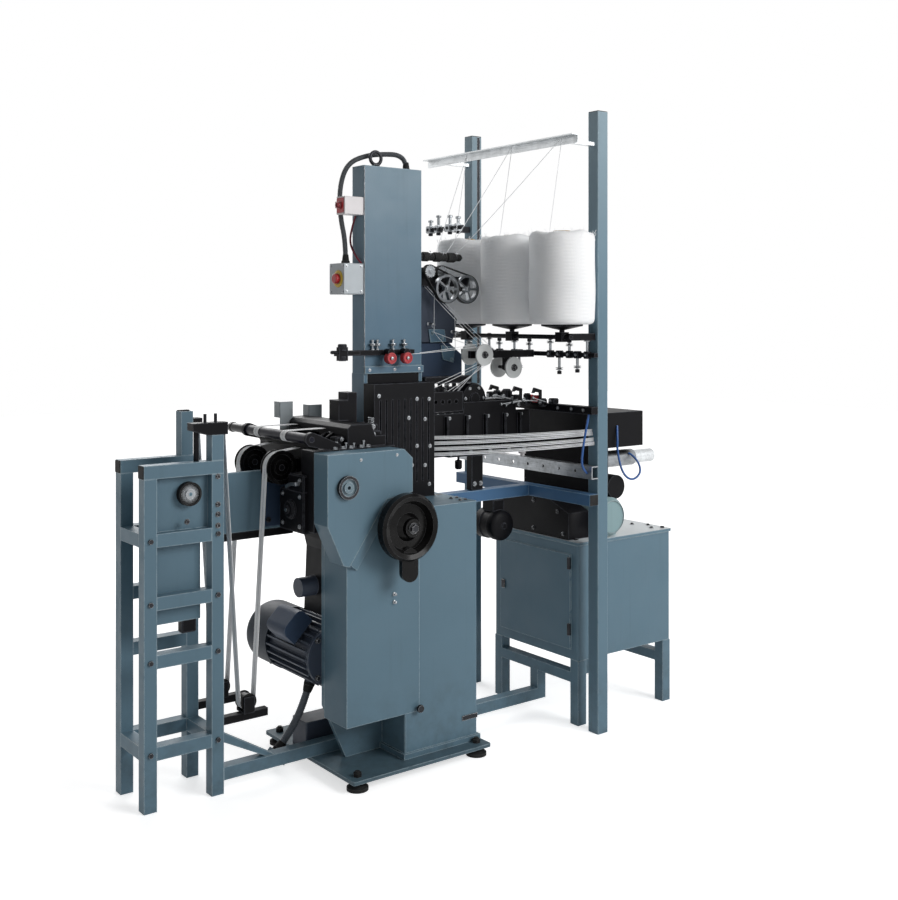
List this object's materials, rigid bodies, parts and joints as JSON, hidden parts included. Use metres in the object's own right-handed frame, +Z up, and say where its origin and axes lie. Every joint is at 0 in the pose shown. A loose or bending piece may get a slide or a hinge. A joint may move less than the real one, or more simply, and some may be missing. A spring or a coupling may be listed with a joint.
{
  "type": "zipper chain making machine",
  "caption": "Pedestal machine that makes zipper tape: belt-driven head with handwheel, tall heald tower, yarn creel with feeder, tape delivery stand and a cabinet with its drive unit.",
  "frame": {"origin": "on the floor under the middle of the plan", "axes": "+X to the right along the front, from the delivery stand to the cabinet, +Y to the back, +Z up"},
  "size_m": [2, 0.9099, 2.17],
  "materials": {
    "blue_paint": "satin enamel",
    "motor_paint": "satin enamel",
    "black_paint": "semi-gloss",
    "black_gloss": "gloss",
    "steel": "machined",
    "pale_steel": "satin",
    "dark_steel": "blackened",
    "rubber": "matt",
    "grey_hose": "ribbed",
    "grey_box": "satin",
    "red_plastic": "gloss",
    "white_discs": "glazed",
    "tape": "woven",
    "yarn": "wound"
  },
  "bodies": {
    "machine": {"base_plate": "blue_paint", "bearing_cap": "steel", "belt_casing": "blue_paint", "cabinet_box": "blue_paint", "cabinet_frame": "blue_paint", "channel_beam": "steel", "clamp_block": "black_paint", "control_box": "grey_box", "creel_bars": "black_paint", "creel_guide_bar": "pale_steel", "creel_posts": "blue_paint", "delivery_posts": "blue_paint", "delivery_rails": "blue_paint", "drive_belt": "rubber", "fasteners": "dark_steel", "feeder_belts": "rubber", "feeder_bracket": "black_paint", "gearmotor": "steel", "head_cover": "blue_paint", "head_frame": "black_paint", "heald_housing": "black_paint", "junction_box": "motor_paint", "levelling_feet": "rubber", "link_beam": "blue_paint", "motor_conduit": "grey_hose", "motor_fan_cover": "motor_paint", "motor_housing": "motor_paint", "motor_terminal_box": "blue_paint", "package_cups": "black_paint", "pedestal_column": "blue_paint", "return_arms": "black_paint", "roller_arms": "black_paint", "stop_motion_bar": "black_paint", "switch_box": "grey_box", "table_rails": "blue_paint", "tension_knobs": "red_plastic", "tower": "blue_paint", "tower_conduit": "grey_hose", "tower_tension_bar": "black_paint", "unit_gear_housing": "black_paint", "unit_motor": "grey_box", "yarn_packages": "yarn", "yarn_threads": "yarn", "zipper_tapes": "tape"},
    "main_drive": {"handwheel": "black_gloss", "main_shaft": "steel"},
    "motor_rotor": {"motor_rotor": "steel"},
    "guide_roller": {"guide_roller": "black_gloss"},
    "tape_wheel_front": {"tape_wheel_front": "black_gloss"},
    "tape_wheel_rear": {"tape_wheel_rear": "black_gloss"},
    "return_pulley_front": {"return_pulley_front": "black_gloss"},
    "return_pulley_rear": {"return_pulley_rear": "black_gloss"},
    "delivery_wheel": {"delivery_wheel": "steel"},
    "feeder_wheel_left": {"feeder_wheel_left": "steel"},
    "feeder_wheel_right": {"feeder_wheel_right": "steel"},
    "feeder_gear_left": {"feeder_gear_left": "steel"},
    "feeder_gear_right": {"feeder_gear_right": "steel"},
    "disc_spindle_upper": {"disc_spindle_upper": "white_discs"},
    "disc_spindle_lower": {"disc_spindle_lower": "white_discs"},
    "stop_button": {"stop_button": "red_plastic"}
  },
  "joints": [
    {"name": "main_turn", "type": "hinge", "parent": "machine", "child": "main_drive", "pos_m": [-0.246, -0.255, 0.796], "axis": [0, 1, 0], "continuous": true},
    {"name": "motor_turn", "type": "hinge", "parent": "machine", "child": "motor_rotor", "pos_m": [-0.385, -0.19, 0.367], "axis": [0, 1, 0], "continuous": true},
    {"name": "roller_turn", "type": "hinge", "parent": "machine", "child": "guide_roller", "pos_m": [-0.515, 0.02, 1.075], "axis": [0, 1, 0], "continuous": true},
    {"name": "tape_wheel_front_turn", "type": "hinge", "parent": "machine", "child": "tape_wheel_front", "pos_m": [-0.545, -0.039, 0.978], "axis": [0, 1, 0], "continuous": true},
    {"name": "tape_wheel_rear_turn", "type": "hinge", "parent": "machine", "child": "tape_wheel_rear", "pos_m": [-0.545, 0.14, 0.978], "axis": [0, 1, 0], "continuous": true},
    {"name": "return_pulley_front_turn", "type": "hinge", "parent": "machine", "child": "return_pulley_front", "pos_m": [-0.661, -0.039, 0.262], "axis": [0, 1, 0], "continuous": true},
    {"name": "return_pulley_rear_turn", "type": "hinge", "parent": "machine", "child": "return_pulley_rear", "pos_m": [-0.661, 0.14, 0.262], "axis": [0, 1, 0], "continuous": true},
    {"name": "delivery_wheel_turn", "type": "hinge", "parent": "machine", "child": "delivery_wheel", "pos_m": [-0.8515, -0.043, 0.9219], "axis": [0, 1, 0], "continuous": true},
    {"name": "feeder_wheel_left_turn", "type": "hinge", "parent": "machine", "child": "feeder_wheel_left", "pos_m": [0.155, 0.005, 1.55486], "axis": [0, 1, 0], "continuous": true},
    {"name": "feeder_wheel_right_turn", "type": "hinge", "parent": "machine", "child": "feeder_wheel_right", "pos_m": [0.264, 0.028, 1.55486], "axis": [0, 1, 0], "continuous": true},
    {"name": "feeder_gear_left_turn", "type": "hinge", "parent": "machine", "child": "feeder_gear_left", "pos_m": [0.079, 0.005, 1.61387], "axis": [0, 1, 0], "continuous": true},
    {"name": "feeder_gear_right_turn", "type": "hinge", "parent": "machine", "child": "feeder_gear_right", "pos_m": [0.15, 0.028, 1.61387], "axis": [0, 1, 0], "continuous": true},
    {"name": "disc_spindle_upper_turn", "type": "hinge", "parent": "machine", "child": "disc_spindle_upper", "pos_m": [0.231, -0.076, 1.32], "axis": [0, 1, 0], "continuous": true},
    {"name": "disc_spindle_lower_turn", "type": "hinge", "parent": "machine", "child": "disc_spindle_lower", "pos_m": [0.366, -0.076, 1.272], "axis": [0, 1, 0], "continuous": true},
    {"name": "stop_button_press", "type": "slide", "parent": "machine", "child": "stop_button", "axis": [1, 0, 0], "range_m": [0, 0.0035], "stiffness_N_per_m": 900}
  ],
  "couplings": [
    {"joint": "motor_turn", "follows": "main_turn", "ratio": 1.32},
    {"joint": "feeder_gear_left_turn", "follows": "feeder_wheel_left_turn", "ratio": 2.2727},
    {"joint": "feeder_gear_right_turn", "follows": "feeder_wheel_right_turn", "ratio": 2.2727}
  ]
}
